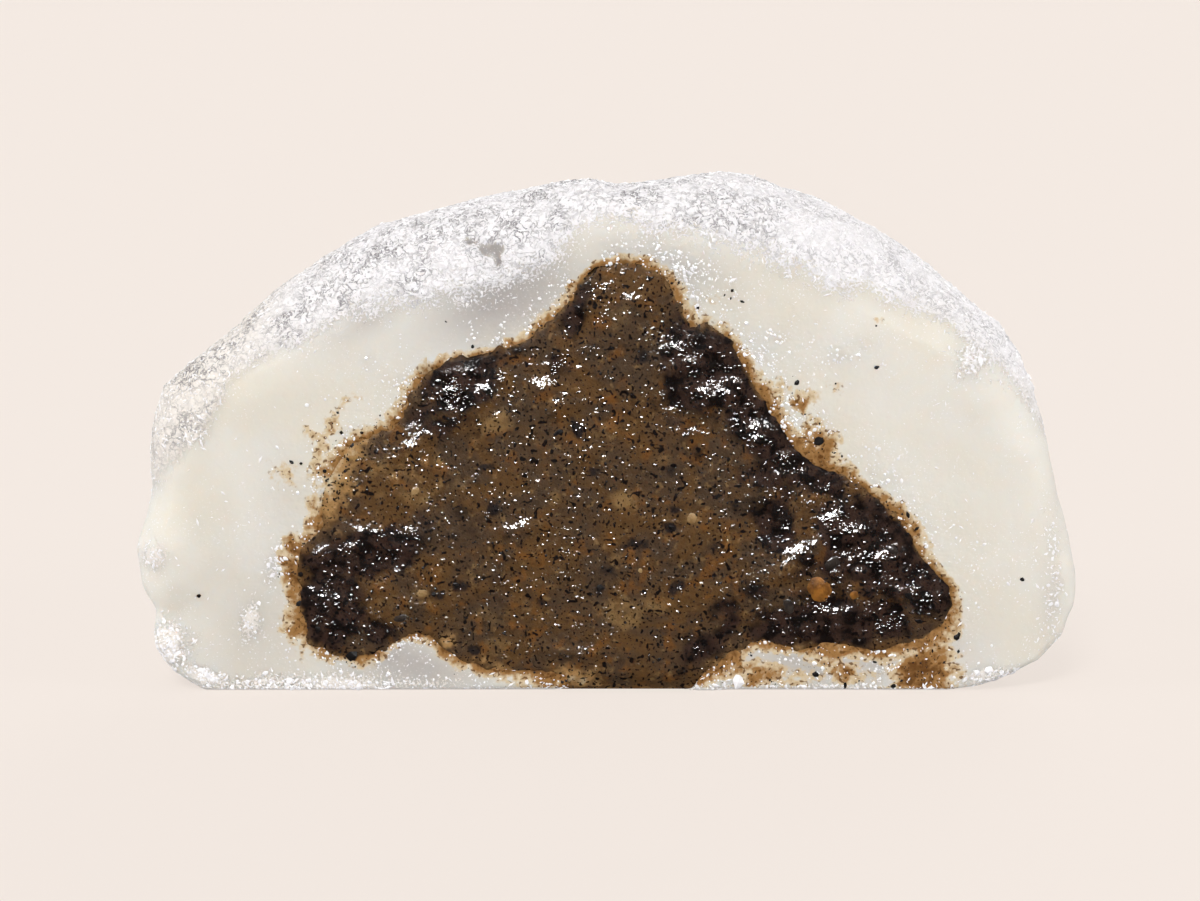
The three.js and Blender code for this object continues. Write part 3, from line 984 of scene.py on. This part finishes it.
# Far, soft lamps: azimuth (0 in front of the cut, 90 to its right) and elevation in degrees, light in
# W/m2, width in degrees, and whether it is a glint, seen only as wet surfaces mirror it. No other lamp is
# mirrored.
LAMPS = {
    "key": (-12, 40, 1.8, 16, False),
    "left": (-78, 12, 0.9, 30, False),
    "right": (72, 12, 0.9, 30, False),
    "back": (165, 14, 1.2, 30, False),
    "key_glint": (-14, 40, 10.0, 13, True),
    "left_glint": (-48, 34, 3.5, 9, True),
    "right_glint": (34, 36, 3.5, 9, True),
}
BACKDROP = rgb(244, 234, 226)
SURROUND = rgb(241, 240, 243)
SURROUND_LIGHT = 0.62
FLOOR_SHADOW = 0.22  # how much of the floor's brightness comes from lamps that a shadow can take away


def make_lamps():
    for name, (azimuth, elevation, strength, width, glint) in LAMPS.items():
        light = bpy.data.lights.new(name, "SUN")
        give(light, energy=strength, angle=math.radians(width))
        obj = placed(name, light)
        turn, rise = math.radians(azimuth), math.radians(elevation)
        level = math.cos(rise)
        away = (math.sin(turn) * level, -math.cos(turn) * level, math.sin(rise))
        obj.rotation_euler = Vector(away).to_track_quat("Z", "Y").to_euler()
        give(obj, location=away, visible_diffuse=not glint, visible_glossy=glint)


def lamps_on_floor():
    """How bright the lamps make a white floor."""
    lamps = [lamp for lamp in LAMPS.values() if not lamp[4]]
    return sum(strength * math.sin(math.radians(rise)) / math.pi for _, rise, strength, _, _ in lamps)


def make_stage():
    """A wide pale floor in an evenly pale surround."""
    half = 20.0
    corners = [(-half, -half, 0), (half, -half, 0), (half, half, 0), (-half, half, 0)]
    mesh = bpy.data.meshes.new("floor")
    mesh.from_pydata(corners, [], [(0, 1, 2, 3)])
    light_on_floor = SURROUND_LIGHT * SURROUND[1] + lamps_on_floor()
    reflected = [part * FLOOR_SHADOW / light_on_floor for part in BACKDROP[:3]]
    material = Nodes("floor").finish(
        Base_Color=(*reflected, 1),
        Roughness=1,
        Specular_IOR_Level=0,
        Emission_Color=BACKDROP,
        Emission_Strength=1 - FLOOR_SHADOW,
    )
    mesh.materials.append(material)
    floor = placed("floor", mesh)
    give(floor, visible_glossy=False, visible_diffuse=False)
    world = bpy.data.worlds.new("surround")
    world.use_nodes = True
    background = world.node_tree.nodes["Background"]
    background.inputs["Color"].default_value = SURROUND
    background.inputs["Strength"].default_value = SURROUND_LIGHT
    world.cycles_visibility.glossy = False
    bpy.context.scene.world = world


CAMERA_DISTANCE = 215.0
VIEW_CENTRE = Vector((-0.5, CUT, 0))  # the point of the cut's foot that the camera's axis passes over
VIEW_LIFT = 15.5  # how far over that point, square to the axis


def make_camera():
    data = bpy.data.cameras.new("camera")
    give(data, lens=100, sensor_width=36, clip_start=0.01, clip_end=100)
    camera = placed("camera", data)
    forward = Vector((0, math.cos(CAMERA_TILT), -math.sin(CAMERA_TILT)))
    upward = Vector((0, math.sin(CAMERA_TILT), math.cos(CAMERA_TILT)))
    camera.location = (VIEW_CENTRE + upward * VIEW_LIFT - forward * CAMERA_DISTANCE) * MM
    camera.rotation_euler = forward.to_track_quat("-Z", "Y").to_euler()
    bpy.context.scene.camera = camera


# ------------ putting it together


def bits_at(rng, face, spots, shape, **others):
    """Bits where the cut's surface is at each (x, z), of the spots' half lengths."""
    ahead = Vector((0, 1, 0))
    hits = [face.ray_cast(Vector((x, CUT - 5, max(z, 0.05))), ahead) for x, z, _ in spots]
    places = np.array([tuple(hit[0]) for hit in hits])
    normals = np.array([tuple(hit[1]) for hit in hits])
    sizes = np.array([spot[2] for spot in spots])
    return bits(rng, places, normals, sizes, shape, **others)


def hull_mesh(rng, face, paste, dough):
    """Hulls over the paste's cut side, some on the stained dough, and those that stand by themselves."""
    facing = np.clip(-paste.normals[:, 1] - 0.3, 0, 1) * (paste.middles[:, 1] < CUT + 0.6)
    sizes = (0.07, 0.45, 0.035, 0.22)
    small = scattered(rng, paste, facing, 5200, sizes, shape=(1, 0.85, 0.4), sunk=0.5)
    stained = dough.mean("stain") ** 2 * dough.off_base
    sizes = (0.06, 0.5, 0.03, 0.2)
    on_dough = scattered(rng, dough, stained, 1100, sizes, shape=(1, 0.8, 0.4))
    how = {"unevenness": 0.28, "sunk": 0.4, "divisions": 1}
    large = bits_at(rng, face, LONE_HULLS, (1, 0.7, 0.3), **how)
    return joined([small, on_dough, large])


def paste_beads(rng, paste):
    """Small wet beads on the paste, crowded where it is dark and lumpy."""
    look = Paste(paste.middles)
    facing = np.clip(-paste.normals[:, 1] - 0.2, 0, 1) * (paste.middles[:, 1] < CUT + 0.4)
    crowded = np.clip(rough_noise(paste.middles, 1.8, 61, 2) * 3 - 0.6, 0, 1)
    weights = facing * (0.14 + 0.12 * look.dark + 1.2 * look.dark * crowded) * (1 - 0.85 * look.smooth)
    sizes, shape = (0.105, 0.4, 0.05, 0.26), (1, 0.85, 0.5)
    mesh = scattered(rng, paste, weights * look.inside, 2600, sizes, shape, sunk=0.35, **BEADS)
    Paste(read_points(mesh)).keep(mesh)
    return mesh


def dough_beads(rng, dough):
    """Beads of syrup on the cut dough where it is wet and not stained, painted white as glints."""
    wetness = 0.5 * dough.mean("near") ** 2 + 1.5 * dough.mean("wet") ** 2
    wetness *= 1 - 0.75 * np.clip(dough.mean("stain"), 0, 1)
    wetness = wetness * dough.off_base * (dough.middles[:, 1] < CUT + 0.5)
    crowded = np.clip(rough_noise(dough.middles, 1.5, 62, 2) * 2 + 0.3, 0, 1)
    sizes, shape = (0.06, 0.45, 0.035, 0.17), (1, 0.85, 0.45)
    return scattered(rng, dough, wetness * crowded, 2200, sizes, shape, sunk=0.4, **BEADS)


def flour_grains(rng, dough):
    """Loose grains of flour on the skin, fewer at the back, and a few on the cut."""
    near_front = 0.35 + 0.65 * ramp(dough.middles[:, 1] - CUT, 16, 8)
    on_cut = 0.03 * (dough.middles[:, 1] < CUT + 0.5)
    dusted = (dough.mean("flour") * near_front + on_cut) * dough.off_base
    sizes, shape = (0.11, 0.45, 0.04, 0.28), (1, 0.35, 0.3)
    return scattered(rng, dough, dusted, 22000, sizes, shape, unevenness=0.35, sunk=0.1)


def flour_crumbs(rng, face, dough):
    """Crumbs of flour in the patches on the cut, and a few larger ones at its foot."""
    clumped = strongest(dough.middles, FLOUR_PATCHES) ** 2 * (dough.middles[:, 1] < CUT + 0.8)
    sizes, shape = (0.09, 0.45, 0.05, 0.25), (1, 0.7, 0.4)
    how = {"unevenness": 0.4, "divisions": 1}
    small = scattered(rng, dough, clumped * dough.off_base, 900, sizes, shape, **how)
    large = bits_at(rng, face, LONE_CRUMBS, (1, 0.9, 0.6), sunk=0.2, divisions=1)
    return joined([small, large])


def build():
    rng = np.random.default_rng(20)
    dough = dough_mesh()
    filling = filling_mesh()
    skin, paste = Surface(dough), Surface(filling)
    corners = np.concatenate([skin.points, paste.points])
    triangles = np.concatenate([skin.triangles, paste.triangles + len(skin.points)])
    face = BVHTree.FromPolygons(corners.tolist(), triangles.tolist())

    hulls = hull_mesh(rng, face, paste, skin)
    nuts = bits_at(rng, face, NUT_BITS, (1, 0.95, 0.5), sunk=0.7, **ROUND)
    pale = bits_at(rng, face, PALE_BITS, (1, 0.8, 0.4), sunk=0.8, **ROUND)
    beads = paste_beads(rng, paste)
    husks = bits_at(rng, face, HUSKS, (1, 0.6, 0.22), sunk=0.4, **ROUND)
    drops = dough_beads(rng, skin)
    grains = flour_grains(rng, skin)
    crumbs = flour_crumbs(rng, face, skin)

    piece(dough, "mochi_dough_body", dough_material(), "mochi_dough")
    piece(filling, "sesame_filling_body", filling_material(), "sesame_filling")
    piece(beads, "sesame_paste_beads", bead_material("paste_syrup", paste_colour))
    # beads on the dough painted white as glints
    piece(drops, "syrup_drops", bead_material("clear_syrup", clear_dough))
    black = dry_material("sesame_hull", *HULL, 0.4, 0.5, 0.08, 0.02)
    piece(hulls, "sesame_hulls", black, smooth=False)
    piece(nuts, "nut_bits", bit_material("nut", *NUT, 0.3, 0.3))
    piece(pale, "kernel_bits", bit_material("kernel", *KERNEL, 0.35, 0.2))
    piece(husks, "sesame_husks", bit_material("husk", *HUSK, 0.25, 0.1))
    white = dry_material("rice_flour", *GRAIN, 0.8, 0.6, 0.07, 0.03)
    piece(grains, "rice_flour_grains", white, smooth=False)
    piece(crumbs, "rice_flour_crumbs", white, smooth=False)


make_stage()
make_camera()
make_lamps()
bpy.context.scene.view_settings.view_transform = "Standard"
build()
